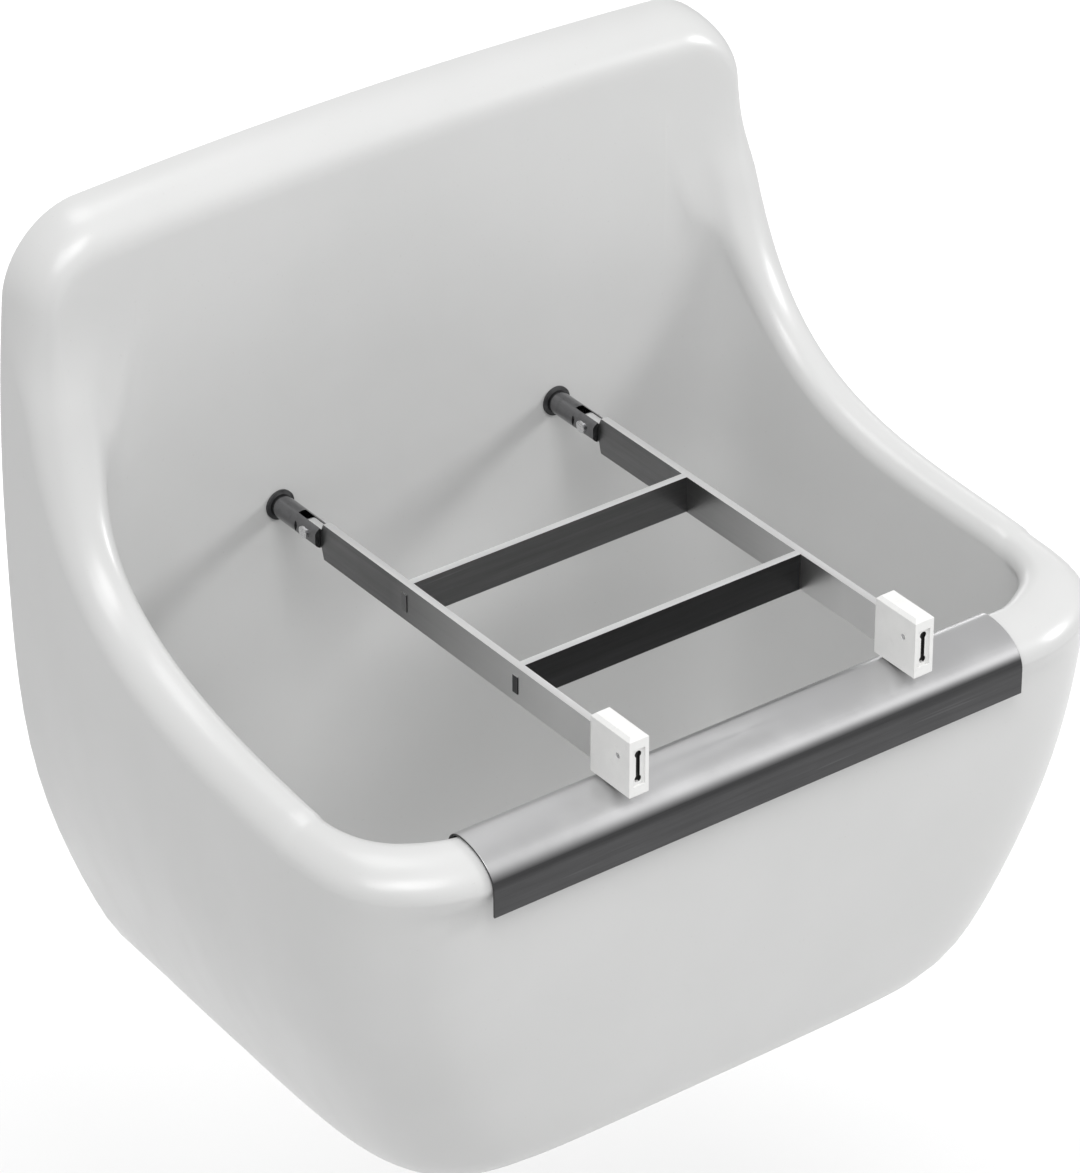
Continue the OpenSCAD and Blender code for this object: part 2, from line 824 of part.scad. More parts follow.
module cross_bar(y) {
  inside_x = bar_x - bar_t / 2;
  tip_x = bar_x + bar_t / 2 + 0.5;
  color([0.42, 0.42, 0.43])
    translate([grating_shift, 0, 0]) {
      box([-inside_x, y - bar_t / 2, bar_bottom], [inside_x, y + bar_t / 2, bar_top]);
      box([-tip_x, y - bar_t / 2, tenon_z0], [tip_x, y + bar_t / 2, tenon_z0 + tenon_h]);
    }
}
module cross_bar_rear() {
  cross_bar(cross_ys[0]);
}
module cross_bar_front() {
  cross_bar(cross_ys[1]);
}

// Buffers on the front ends of the side bars
module bevelled_block(w, y0, y1, z0, z1, b) {
  intersection() {
    translate([0, y1, 0]) rotate([90, 0, 0])
      linear_extrude(y1 - y0)
        polygon([
          [-w / 2 + b, z0], [w / 2 - b, z0], [w / 2, z0 + b], [w / 2, z1 - b],
          [w / 2 - b, z1], [-w / 2 + b, z1], [-w / 2, z1 - b], [-w / 2, z0 + b]
        ]);
    translate([-w, 0, 0]) rotate([90, 0, 90])
      linear_extrude(2 * w)
        polygon([
          [y0 + b, z0], [y1 - b, z0], [y1, z0 + b], [y1, z1 - b],
          [y1 - b, z1], [y0 + b, z1], [y0, z1 - b], [y0, z0 + b]
        ]);
  }
}
module buffer(side) {
  foot = rest_gap;
  mid = foot + buffer_h / 2;
  recess_w = buffer_w * 0.62;
  recess_h = buffer_h * 0.3;
  slot_h = buffer_h * 0.2;
  slot_end_r = slot_w / 2 + 0.9;
  floor_y = buffer_front_y + recess_depth;
  color([0.95, 0.95, 0.94])
    hinge_at(side)
      difference() {
        bevelled_block(
          buffer_w, buffer_front_y, buffer_back_y, foot, foot + buffer_h, buffer_bevel
        );
        box(
          [-bar_t / 2 - buffer_play, bar_front_y, bar_bottom - buffer_play],
          [bar_t / 2 + buffer_play, buffer_back_y + 1, bar_top + buffer_play]
        );
        box(
          [-recess_w / 2, buffer_front_y - 1, mid - recess_h],
          [recess_w / 2, floor_y, mid + recess_h]
        );
        box(
          [-slot_w / 2, buffer_front_y - 1, mid - slot_h],
          [slot_w / 2, floor_y + slot_depth, mid + slot_h]
        );
        for (end = [-1, 1])
          translate([0, 0, mid + end * slot_h])
            along_y(buffer_front_y - 1, floor_y + slot_depth, slot_end_r);
        translate([0, buffer_pin_y, buffer_pin_z])
          along_x(-buffer_w, buffer_w, buffer_pin_d / 2);
      }
}
module buffer_left() {
  buffer(-1);
}
module buffer_right() {
  buffer(1);
}
module buffer_pins() {
  color([0.6, 0.6, 0.61])
    for (side = [-1, 1])
      hinge_at(side)
        translate([0, buffer_pin_y, buffer_pin_z])
          along_x(-buffer_w / 2 + 0.2, buffer_w / 2 - 0.2, buffer_pin_d / 2);
}

// Waste outlet
module waste_body() {
  tail_bottom = under_z - tail_l;
  shoulder_z = tail_bottom + spigot_l;
  color([0.72, 0.73, 0.74])
    translate(waste_c) {
      difference() {
        union() {
          tube(flange_d / 2, tail_bore_r, drain_z - flange_t, drain_z);
          tube(tail_r, tail_bore_r, shoulder_z, drain_z - flange_t + eps);
          tube(tail_r, spigot_bore_r, shoulder_z, shoulder_z + tail_wall);
          tube(spigot_r, spigot_bore_r, tail_bottom, shoulder_z + eps);
        }
        translate([0, 0, strainer_z]) cylinder(d = strainer_d + 0.6, h = strainer_t + 1);
      }
      difference() {
        for (a = [0, 90])
          rotate([0, 0, a])
            box(
              [-tail_bore_r - 1, -1.5, strainer_z - 14],
              [tail_bore_r + 1, 1.5, strainer_z - 4]
            );
        translate([0, 0, strainer_z - 20]) cylinder(d = screw_d, h = 40);
      }
      tube(post_r, screw_d / 2, strainer_z - 14, strainer_z);
    }
}
module waste_strainer() {
  color([0.75, 0.76, 0.77])
    translate(waste_c + [0, 0, strainer_z])
      difference() {
        cylinder(d = strainer_d, h = strainer_t);
        translate([0, 0, -1]) cylinder(d = screw_d + 0.4, h = strainer_t + 2);
        for (rank = [1, 2])
          for (i = [0 : 6 * rank - 1])
            rotate([0, 0, i * 60 / rank])
              translate([rank * 8.5, 0, -1]) cylinder(d = strainer_hole_d, h = strainer_t + 2);
      }
}
module strainer_screw() {
  color([0.7, 0.7, 0.71])
    translate(waste_c + [0, 0, strainer_z])
      difference() {
        union() {
          translate([0, 0, -12]) cylinder(d = screw_d, h = 12 + strainer_t + eps);
          translate([0, 0, strainer_t]) cylinder(d = screw_d + 3.5, h = 2);
        }
        box([-5, -0.5, strainer_t + 1], [5, 0.5, strainer_t + 3]);
      }
}
module waste_gasket_top() {
  color([0.12, 0.12, 0.12])
    translate(waste_c) tube(flange_d / 2 - 1, tail_r + 0.3, seat_z, seat_z + gasket_t);
}
module waste_gasket_bottom() {
  color([0.12, 0.12, 0.12])
    translate(waste_c) tube(backnut_w / 2 + 4, tail_r + 0.3, backnut_z, under_z);
}
module waste_back_nut() {
  color([0.7, 0.71, 0.72])
    translate(waste_c + [0, 0, backnut_z - backnut_h])
      difference() {
        cylinder(d = backnut_w / cos(30), h = backnut_h, $fn = 6);
        translate([0, 0, -1]) cylinder(r = tail_r, h = backnut_h + 2);
      }
}

basin();
edge_guard();
guard_strips();
wall_bushes();
hinge_stud_left();
hinge_stud_right();
hinge_pin_left();
hinge_pin_right();
stud_rosettes();
stud_back_rubbers();
stud_back_washers();
stud_nuts();
side_bar_left();
side_bar_right();
cross_bar_rear();
cross_bar_front();
buffer_left();
buffer_right();
buffer_pins();
waste_body();
waste_strainer();
strainer_screw();
waste_gasket_top();
waste_gasket_bottom();
waste_back_nut();
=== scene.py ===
"""Looks of a wall-hung mop service sink: smooth glazed basin, steel grating, guard, studs and waste.

Lengths in the basin and guard sections are millimetres and are turned into metres when a mesh is made.
"""

import math

import bmesh
import bpy
import numpy as np
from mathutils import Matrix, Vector


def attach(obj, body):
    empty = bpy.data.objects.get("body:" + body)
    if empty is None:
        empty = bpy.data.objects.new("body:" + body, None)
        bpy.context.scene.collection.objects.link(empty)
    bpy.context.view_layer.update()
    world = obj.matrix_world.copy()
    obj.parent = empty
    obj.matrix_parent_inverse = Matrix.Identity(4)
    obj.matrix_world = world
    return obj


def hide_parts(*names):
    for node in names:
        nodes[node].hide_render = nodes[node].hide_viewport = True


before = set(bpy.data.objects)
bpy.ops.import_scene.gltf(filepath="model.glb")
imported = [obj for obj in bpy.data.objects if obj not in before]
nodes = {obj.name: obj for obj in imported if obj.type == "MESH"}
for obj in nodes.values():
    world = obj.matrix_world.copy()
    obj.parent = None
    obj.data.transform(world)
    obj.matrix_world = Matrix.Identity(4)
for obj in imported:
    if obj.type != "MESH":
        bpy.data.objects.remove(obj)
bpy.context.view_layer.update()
MM = 0.001


# Camera
IMAGE_HEIGHT = 1173
FOCAL_PX = 5910.5
AZIMUTH = math.radians(-36.71)
ELEVATION = math.radians(32.16)
TARGET = Vector((0, -0.1985, 0))
DISTANCE = 3.5766
CENTRE_OFFSET_PX = (-25.9, 5.0)


def make_camera():
    data = bpy.data.cameras.new("camera")
    data.sensor_width = 36
    data.lens = FOCAL_PX * data.sensor_width / IMAGE_HEIGHT
    data.shift_x = CENTRE_OFFSET_PX[0] / IMAGE_HEIGHT
    data.shift_y = CENTRE_OFFSET_PX[1] / IMAGE_HEIGHT
    data.clip_end = 50
    camera = bpy.data.objects.new("camera", data)
    back = Vector((
        math.sin(AZIMUTH) * math.cos(ELEVATION),
        -math.cos(AZIMUTH) * math.cos(ELEVATION),
        math.sin(ELEVATION),
    ))
    camera.location = TARGET + back * DISTANCE
    camera.rotation_euler = back.to_track_quat("Z", "Y").to_euler()
    bpy.context.collection.objects.link(camera)
    bpy.context.scene.camera = camera


# Small helpers for points and curves
def vec(x, y, z):
    return np.array((x, y, z), float)


X_AXIS = vec(1, 0, 0)
Y_AXIS = vec(0, 1, 0)
Z_AXIS = vec(0, 0, 1)


def mix(a, b, t):
    return a + (b - a) * t


def ease(t):
    c = min(1, max(0, t))
    return c * c * (3 - 2 * c)


def unit(v):
    return v / np.linalg.norm(v)


def bezier(a, b, c, d, t):
    return a * (1 - t) ** 3 + b * 3 * t * (1 - t) ** 2 + c * 3 * t * t * (1 - t) + d * t**3


def soft_max(values, power):
    return sum(max(0, v) ** power for v in values) ** (1 / power)


# Basin outline
BODY_W = 544
BODY_D = 402
SIDE_FLARE = 20
SPLASH_H = 261
SPLASH_ARCH = 6
SPLASH_R = 52
SPLASH_TAPER = 0.05
BODY_H = 300
FLOOR_LIFT = 19
SIDE_LEAN = 72
SIDE_ANGLE = math.radians(24)
FRONT_LEAN = 41
FRONT_ANGLE = math.radians(15)
BODY_POWER = 14
PLAN_POWER = 9

# Basin rim
SLAB_T = 38
SLAB_R = 26
SLAB_SIDE_R = 16
SIDE_RIM_W = 34
FRONT_RIM_W = 40
SIDE_RIM_R = 19
SIDE_LIP_R = 12
FRONT_RIM_R = 20
LIP_R = 9
CORNER_R = 88
CORNER_EXTRA = 6

# Basin inside
WALL = 15
WEB_T = 14
FLOOR_T = 32
BOWL_H = BODY_H - FLOOR_T
FLOOR_DIP = 7
REAR_ANGLE = math.radians(14.7)
REAR_CREASE = 45
BOWL_POWER = 9
WASTE_Y = 205

# Edge guard
GUARD_GAP_LEFT = 0
GUARD_GAP_RIGHT = 16
GUARD_T = 1.5
STRIP_T = 1
GUARD_FRONT_H = 39
GUARD_BACK_H = 30

# Basin shape values that follow from the sizes
HALF_W = BODY_W / 2
OUTER_EYE = vec(0, 0, -83)
CREST_Z = -GUARD_T - STRIP_T
SLAB_X = HALF_W - SPLASH_R
SLAB_CORNER_Z = SPLASH_H - SPLASH_ARCH - SPLASH_R
LOWER_HALF_W = HALF_W - SIDE_LEAN
LOWER_FRONT = BODY_D - FRONT_LEAN
FRONT_SLOPE = 0.009
FRONT_SWELL = 4
FRONT_STRAIGHT = HALF_W + SIDE_FLARE - CORNER_R
BOWL_HALF_W = HALF_W - SIDE_RIM_W
BOWL_FRONT = BODY_D - FRONT_RIM_W
BOWL_DRAFT = 0.05
BOWL_SWELL = 3.5
BOWL_EYE = vec(0, -(SLAB_T + BOWL_FRONT) / 2, -40)
INNER_CORNER_R = 45
RING_Z = -55
REAR_POWER = 60
TURN_SHARE = 0.3
HOLE_R = 12
FLARE = SIDE_FLARE / BODY_D
RISE = FLOOR_LIFT / BODY_D
WING_BLEND = 0.14
HOLD_BLEND = 0.17
SPREAD_W = 36
SPREAD_BLEND = 0.34
CLEAR_FROM = 0.06
CLEAR_SPAN = 0.3
FACE_DROP = 14
SIDE_SHARE = 0.65
FRONT_SHARE = 0.75
ROUND_K = 0.5523
SLAB_K = 0.69
TOP_FOOT = vec(-SLAB_X + 30, -SLAB_T, SPLASH_H - SPLASH_ARCH - SLAB_R - FACE_DROP)
WING_FOOT = vec(SLAB_SIDE_R - HALF_W + 54, -SLAB_T, SLAB_CORNER_Z)
WING_FROM = vec(0, -SLAB_T, SLAB_CORNER_Z)
WING_TO = vec(0, -(BODY_D - CORNER_R), 0)

TOP, TOP_CORNER, WING, CORNER, FRONT = range(5)
STATION_COUNTS = {TOP: 24, TOP_CORNER: 16, WING: 56, CORNER: 24, FRONT: 14}
ROUND_N = 12
WALL_N = 18
BOWL_N = 18
FLOOR_N = 12
SKIN_N = 24
UNDER_N = 8


def limit(normal, point, eye):
    """A flat limit of a rounded body, as seen from a point inside it."""
    n = vec(*normal)
    return n / (n @ (vec(*point) - eye))


OUTER_SIDE = limit((-1, FLARE, 0), (-HALF_W, 0, 0), OUTER_EYE)
OUTER_FRONT = limit((0, -1, -FRONT_SLOPE), (0, -BODY_D - FRONT_SWELL, -FRONT_RIM_R), OUTER_EYE)
OUTER_LOW_SIDE = limit(
    (-math.cos(SIDE_ANGLE), FLARE * math.cos(SIDE_ANGLE), -math.sin(SIDE_ANGLE)),
    (-LOWER_HALF_W, 0, -BODY_H), OUTER_EYE,
)
OUTER_LOW_FRONT = limit(
    (0, -math.cos(FRONT_ANGLE), -math.sin(FRONT_ANGLE)), (0, -LOWER_FRONT, -BODY_H), OUTER_EYE
)
OUTER_FLOOR = limit((0, -RISE, -1), (0, -BODY_D / 2, -BODY_H), OUTER_EYE)

INNER_REST = [
    limit((-1, FLARE, -BOWL_DRAFT), (-BOWL_HALF_W, 0, 0), BOWL_EYE),
    limit((0, -1, -FRONT_SLOPE), (0, -BOWL_FRONT - BOWL_SWELL, -LIP_R), BOWL_EYE),
    limit(
        (-math.cos(SIDE_ANGLE), FLARE * math.cos(SIDE_ANGLE), -math.sin(SIDE_ANGLE)),
        (-LOWER_HALF_W + WALL / math.cos(SIDE_ANGLE), 0, -BODY_H), BOWL_EYE,
    ),
    limit(
        (0, -math.cos(FRONT_ANGLE), -math.sin(FRONT_ANGLE)),
        (0, -LOWER_FRONT + WALL, -BODY_H), BOWL_EYE,
    ),
    limit((0, 0, -1), (0, 0, -BOWL_H), BOWL_EYE),
]
INNER_REAR = [
    limit((0, 1, 0), (0, -SLAB_T, 0), BOWL_EYE),
    limit((0, math.cos(REAR_ANGLE), -math.sin(REAR_ANGLE)), (0, -SLAB_T, -REAR_CREASE), BOWL_EYE),
]


def outer(p):
    """The point of the outer skin in the direction of p."""
    d = p - OUTER_EYE
    sides = soft_max((OUTER_SIDE @ d, OUTER_LOW_SIDE @ d), BODY_POWER)
    front = soft_max((OUTER_FRONT @ d, OUTER_LOW_FRONT @ d), BODY_POWER)
    round_about = soft_max((sides, front), PLAN_POWER)
    return OUTER_EYE + d / soft_max((round_about, OUTER_FLOOR @ d), BODY_POWER)


def inner(p):
    """The point of the bowl's surface in the direction of p."""
    d = p - BOWL_EYE
    rear = soft_max([a @ d for a in INNER_REAR], REAR_POWER)
    return BOWL_EYE + d / soft_max([a @ d for a in INNER_REST] + [rear], BOWL_POWER)


def make_stations():
    found = []
    for run, count in STATION_COUNTS.items():
        steps = count + 1 if run == FRONT else count
        found += [(run, i / count) for i in range(steps)]
    return found


def ring(s, hw, back, front, r, z):
    """Point on a ring that follows the bowl in plan."""
    run, f = s
    a = math.pi / 2 * f
    if run == TOP:
        return vec(-(hw - r) * 0.8 * f, -back, z)
    if run == TOP_CORNER:
        return vec(-(hw - r) * mix(0.8, 1, f), -back, z)
    if run == WING and f < TURN_SHARE:
        b = a / TURN_SHARE
        return vec(-(hw - r) - r * math.sin(b), -(back + r) + r * math.cos(b), z)
    if run == WING:
        along = (f - TURN_SHARE) / (1 - TURN_SHARE)
        return vec(-hw, -mix(back + r, front - r, along), z)
    if run == CORNER:
        return vec(-(hw - r) - r * math.cos(a), -(front - r) - r * math.sin(a), z)
    return vec(-(hw - r) * (1 - f), -front, z)


def skirt(s, hw, front, r, z):
    """Point on a ring that follows the outside and ends square at the wall."""
    run, f = s
    a = math.pi / 2 * f
    if run == TOP:
        return vec(-0.85 * hw * f, 0, z)
    if run == TOP_CORNER:
        return vec(-hw * mix(0.85, 1, f), 0, z)
    if run == WING:
        return vec(-hw, -(front - r) * f, z)
    if run == CORNER:
        return vec(-(hw - r) - r * math.cos(a), -(front - r) - r * math.sin(a), z)
    return vec(-(hw - r) * (1 - f), -front, z)


def wing_line(t):
    """Height line of the side rims, from the splashback to the front corner."""
    return bezier(
        WING_FROM, WING_FROM + vec(0, -20, -0.9 * SLAB_CORNER_Z), WING_TO + vec(0, 180, 5), WING_TO, t
    )


def wing_up(t):
    d = unit(wing_line(t + 0.01) - wing_line(t - 0.01))
    return vec(0, d[2], -d[1])


def slab_section(foot, crest, inner_foot, down):
    """Outer foot, crest, inner foot, the directions there and the outer fullness."""
    return [foot, crest, inner_foot, -Y_AXIS, down, down, SLAB_K]


def rim_section(foot, inward, up, w, share, r_out, r_in):
    crest = foot + inward * w * share + up * r_out
    return [foot, crest, foot + inward * w + up * (r_out - r_in), up, inward, -up, ROUND_K]


def top_section(f):
    x = -SLAB_X * f
    h = SPLASH_H - SPLASH_ARCH * f * f
    return slab_section(
        vec(x, 0, h), vec(x, -SLAB_T, h - SLAB_R),
        vec(TOP_FOOT[0] * f, -SLAB_T, h - SLAB_R - FACE_DROP), -Z_AXIS,
    )


def top_corner_section(f):
    a = math.pi / 2 * f
    ray = vec(-math.sin(a), 0, math.cos(a))
    centre = vec(-SLAB_X, 0, SLAB_CORNER_Z)
    r = mix(SLAB_R, SLAB_SIDE_R, ease(f))
    return slab_section(
        centre + SPLASH_R * ray, centre + (SPLASH_R - r) * ray - SLAB_T * Y_AXIS,
        mix(TOP_FOOT, WING_FOOT, f), -ray,
    )


def wing_section(f):
    p = wing_line(f)
    up = wing_up(f)
    m = ease(f / WING_BLEND)
    clear = ease((f - CLEAR_FROM) / CLEAR_SPAN)
    spread = SPREAD_W * max(0, 1 - f / SPREAD_BLEND) ** 2
    start = p - up * SIDE_RIM_R
    foot = outer(vec(-HALF_W + FLARE * start[1], start[1], start[2]))
    inside = foot + up * (SIDE_RIM_R - SIDE_LIP_R)
    inner_foot = vec(foot[0] + SIDE_RIM_W + spread, min(-SLAB_T, inside[1]), inside[2])
    rim = [
        foot, foot + X_AXIS * SIDE_RIM_W * SIDE_SHARE + up * SIDE_RIM_R, inner_foot,
        up, X_AXIS, mix(X_AXIS, -up, clear), ROUND_K,
    ]
    slab = slab_section(
        vec(-HALF_W, 0, p[2]), vec(SLAB_SIDE_R - HALF_W, -SLAB_T, p[2]),
        vec(WING_FOOT[0], -SLAB_T, p[2]), X_AXIS,
    )
    mixed = [mix(a, b, m) for a, b in zip(slab, rim)]
    return mixed[:3] + [unit(v) for v in mixed[3:6]] + mixed[6:]


def corner_section(f):
    a = math.pi / 2 * f
    m = ease(f)
    inward = vec(math.cos(a), math.sin(a), 0)
    r_out = mix(SIDE_RIM_R, FRONT_RIM_R, m)
    plan = vec(
        -FRONT_STRAIGHT - CORNER_R * inward[0],
        -(BODY_D - CORNER_R) - CORNER_R * inward[1],
        mix(WING_TO[2], CREST_Z, m) - r_out,
    )
    w = mix(SIDE_RIM_W, FRONT_RIM_W, m) + CORNER_EXTRA * math.sin(math.pi * f)
    return rim_section(
        mix(outer(plan), plan, m), inward, Z_AXIS, w,
        mix(SIDE_SHARE, FRONT_SHARE, m), r_out, mix(SIDE_LIP_R, LIP_R, m),
    )


def front_section(f):
    return rim_section(
        vec(-FRONT_STRAIGHT * (1 - f), -BODY_D, CREST_Z - FRONT_RIM_R),
        Y_AXIS, Z_AXIS, FRONT_RIM_W, FRONT_SHARE, FRONT_RIM_R, LIP_R,
    )


SECTIONS = {
    TOP: top_section,
    TOP_CORNER: top_corner_section,
    WING: wing_section,
    CORNER: corner_section,
    FRONT: front_section,
}


def quarter(p, q, dp, dq, k, t):
    """Quarter round between two points with given directions."""
    reach_p = k * abs((q - p) @ dp)
    reach_q = ROUND_K * abs((q - p) @ dq)
    return bezier(p, p + dp * reach_p, q - dq * reach_q, q, t)


def crest_points(g, count):
    first = [quarter(g[0], g[1], g[3], g[4], g[6], i / count) for i in range(count + 1)]
    second = [quarter(g[1], g[2], g[4], g[5], ROUND_K, i / count) for i in range(1, count + 1)]
    return first + second


def hold(s):
    """How firmly a station's inner wall keeps to its straight line below the rim."""
    if s[0] == WING:
        return 1 - ease(s[1] / HOLD_BLEND)
    if s[0] == CORNER:
        return ease(2 * s[1])
    return 1


def toward_waste(p, z):
    return vec(0, -WASTE_Y, z) + HOLE_R * unit(vec(p[0], p[1] + WASTE_Y, 0))


def bowl_side(g, s):
    keep = hold(s)
    middle = inner(ring(s, BOWL_HALF_W, SLAB_T, BOWL_FRONT, INNER_CORNER_R, RING_Z))
    low = ring(s, LOWER_HALF_W - WALL, SLAB_T + 72, LOWER_FRONT - WALL, INNER_CORNER_R, -BOWL_H)
    hole = toward_waste(low, -BOWL_H)
    found = []
    for i in range(1, WALL_N + 1):
        p = mix(g[2], middle, i / WALL_N)
        found.append(mix(inner(p), p, keep * (1 - ease(2 * i / WALL_N))))
    found += [inner(mix(middle, low, i / BOWL_N)) for i in range(1, BOWL_N + 1)]
    for i in range(1, FLOOR_N + 1):
        f = i / FLOOR_N
        found.append(inner(mix(low, hole, f)) - FLOOR_DIP * ease(f) * Z_AXIS)
    return found


def skin_side(g, s):
    low = outer(skirt(s, LOWER_HALF_W, LOWER_FRONT, CORNER_R, -BODY_H))
    hole = toward_waste(low, -BODY_H)
    found = [outer(mix(hole, low, i / UNDER_N)) for i in range(UNDER_N)] + [low]
    for i in range(1, SKIN_N):
        p = mix(low, g[0], i / SKIN_N)
        found.append(p if s[0] in (TOP, TOP_CORNER) else outer(p))
    return found


def tapered(p):
    f = max(0, (p[2] - 60) / (SPLASH_H - 60))
    return vec(p[0] * (1 - SPLASH_TAPER * f * f), p[1], p[2])


def basin_loop(s):
    g = SECTIONS[s[0]](s[1])
    g[2] = mix(inner(g[2]), g[2], hold(s))
    return [tapered(p) for p in crest_points(g, ROUND_N) + bowl_side(g, s) + skin_side(g, s)]


# Meshes
def new_object(name, points, faces):
    """Makes an object from points in millimetres."""
    mesh = bpy.data.meshes.new(name)
    mesh.from_pydata([tuple(float(c) * MM for c in p) for p in points], [], faces)
    mesh.validate()
    made = bpy.data.objects.new(name, mesh)
    bpy.context.collection.objects.link(made)
    return made


def closed_grid(name, rows, closed_rows):
    """Joins rows of points into a skin of four-sided faces."""
    count = len(rows[0])
    points = [p for row in rows for p in row]
    faces = []
    for i in range(len(rows) if closed_rows else len(rows) - 1):
        for j in range(count):
            k = (j + 1) % count
            n = (i + 1) % len(rows)
            faces.append((i * count + j, i * count + k, n * count + k, n * count + j))
    if not closed_rows:
        last = (len(rows) - 1) * count
        faces.append(tuple(range(count - 1, -1, -1)))
        faces.append(tuple(range(last, last + count)))
    return new_object(name, points, faces)


def face_outward(obj):
    edit = bmesh.new()
    edit.from_mesh(obj.data)
    bmesh.ops.recalc_face_normals(edit, faces=edit.faces)
    edit.to_mesh(obj.data)
    edit.free()


def shade(obj, angle):
    """Smooth shading with sharp edges above an angle in degrees."""
    for face in obj.data.polygons:
        face.use_smooth = True
    obj.data.set_sharp_from_angle(angle=math.radians(angle))


def box_cutter(low, high):
    xs, ys, zs = zip(low, high)
    corners = [(x, y, z) for x in xs for y in ys for z in zs]
    faces = [(0, 1, 3, 2), (4, 6, 7, 5), (0, 4, 5, 1), (2, 3, 7, 6), (0, 2, 6, 4), (1, 5, 7, 3)]
    return new_object("cutter", corners, faces)


def round_cutter(centre, axis, start, end, radius, sides=64):
    """A round cutter along Y or Z between two levels on that axis."""
    rows = []
    for level in (start, end):
        row = []
        for i in range(sides):
            a = 2 * math.pi * i / sides
            u = radius * math.cos(a)
            v = radius * math.sin(a)
            if axis == "Y":
                row.append((centre[0] + u, level, centre[1] + v))
            else:
                row.append((centre[0] + u, centre[1] + v, level))
        rows.append(row)
    return closed_grid("cutter", rows, closed_rows=False)


# Hollows of the basin
PANEL_T = 14
RIB_W = 24
BOLT_SPAN = 280
BOLT_DROP = 150
BUSH_R = 7
BAR_X = 105.5
GRATING_SHIFT = 6
PIN_Z = 20
SHANK_HOLE_R = 6
TAIL_HOLE_R = 26
SEAT_R = 42.5
SEAT_Z = -BOWL_H - FLOOR_DIP - 5.5
UNDER_Z = SEAT_Z - 14
UNDER_R = 45
POCKET_X = HALF_W * (1 - SPLASH_TAPER) - 42
POCKET_FLOOR = -8
BACK_Y = -SLAB_T + WEB_T


def lower_hollow_cutter():
    web_z = POCKET_FLOOR - WEB_T
    rear_t = WEB_T / math.cos(REAR_ANGLE)
    bottom = -BODY_H - 40
    narrowing = 12 * (REAR_CREASE + web_z) / (BOLT_DROP + web_z)
    levels = [
        (web_z, HALF_W - 28),
        (-REAR_CREASE, HALF_W - 28 - narrowing),
        (-BOLT_DROP, HALF_W - 40),
        (50 - BODY_H, LOWER_HALF_W - 4),
        (bottom, LOWER_HALF_W - 44),
    ]
    rows = []
    for z, hw in levels:
        y = BACK_Y if z == web_z else rear_t - SLAB_T + (REAR_CREASE + z) * math.tan(REAR_ANGLE)
        rows.append([(-hw, -PANEL_T, z), (hw, -PANEL_T, z), (hw, y, z), (-hw, y, z)])
    return closed_grid("cutter", rows, closed_rows=False)


def basin_cutters():
    made = [lower_hollow_cutter()]
    for side in (-1, 1):
        xs = sorted((side * RIB_W / 2, side * POCKET_X))
        made.append(box_cutter((xs[0], BACK_Y, POCKET_FLOOR), (xs[1], 2, SPLASH_H - SLAB_R)))
        made.append(
            round_cutter((side * BOLT_SPAN / 2, -BOLT_DROP), "Y", -PANEL_T - 2, 2, BUSH_R)
        )
        stud_x = GRATING_SHIFT + side * BAR_X
        made.append(round_cutter((stud_x, PIN_Z), "Y", -SLAB_T - 2, BACK_Y + 2, SHANK_HOLE_R))
    waste = (0, -WASTE_Y)
    made.append(round_cutter(waste, "Z", UNDER_Z - 2, SEAT_Z + 2, TAIL_HOLE_R))
    made.append(round_cutter(waste, "Z", SEAT_Z, SEAT_Z + 60, SEAT_R))
    made.append(round_cutter(waste, "Z", -BODY_H - 40, UNDER_Z, UNDER_R))
    return made


def cut(obj, cutters):
    """Cuts each cutter out of an object and removes the cutters."""
    for cutter in cutters:
        face_outward(cutter)
        step = obj.modifiers.new("cut", "BOOLEAN")
        step.operation = "DIFFERENCE"
        step.solver = "EXACT"
        step.object = cutter
    graph = bpy.context.evaluated_depsgraph_get()
    mesh = bpy.data.meshes.new_from_object(obj.evaluated_get(graph))
    obj.modifiers.clear()
    obj.data = mesh
    for cutter in cutters:
        bpy.data.objects.remove(cutter)


def make_basin():
    left = [basin_loop(s) for s in make_stations()]
    right = [[vec(-p[0], p[1], p[2]) for p in row] for row in left[-2:0:-1]]
    basin = closed_grid("basin_skin", left + right, closed_rows=True)
    face_outward(basin)
    cut(basin, basin_cutters())
    shade(basin, 42)
    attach(basin, "sink")
    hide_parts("basin")
    return basin


# Edge guard
def shifted(curve, distance):
    made = []
    for i, p in enumerate(curve):
        a = curve[max(0, i - 1)]
        b = curve[min(len(curve) - 1, i + 1)]
        t = unit(b - a)
        normal = vec(0, -t[2], t[1])
        if i == 0:
            normal = -Y_AXIS
        if i == len(curve) - 1:
            normal = Y_AXIS
        made.append(p + normal * distance)
    return made


def make_guard():
    rim = crest_points(front_section(1), 24)
    under = shifted(rim, STRIP_T)
    over = shifted(rim, STRIP_T + GUARD_T)
    ends = []
    for curve in (under, over):
        front_end = vec(0, curve[0][1], -GUARD_FRONT_H)
        back_end = vec(0, curve[-1][1], -GUARD_BACK_H)
        ends.append([front_end] + curve + [back_end])
    outline = ends[1] + ends[0][::-1]
    rows = []
    for x in np.linspace(GUARD_GAP_LEFT - FRONT_STRAIGHT, FRONT_STRAIGHT - GUARD_GAP_RIGHT, 3):
        rows.append([p + vec(x, 0, 0) for p in outline])
    guard = closed_grid("guard_sheet", rows, closed_rows=False)
    face_outward(guard)
    bevel = guard.modifiers.new("edges", "BEVEL")
    bevel.width = 0.3 * MM
    bevel.segments = 2
    bevel.limit_method = "ANGLE"
    bevel.angle_limit = math.radians(50)
    shade(guard, 40)
    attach(guard, "sink")
    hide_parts("edge_guard")
    return guard


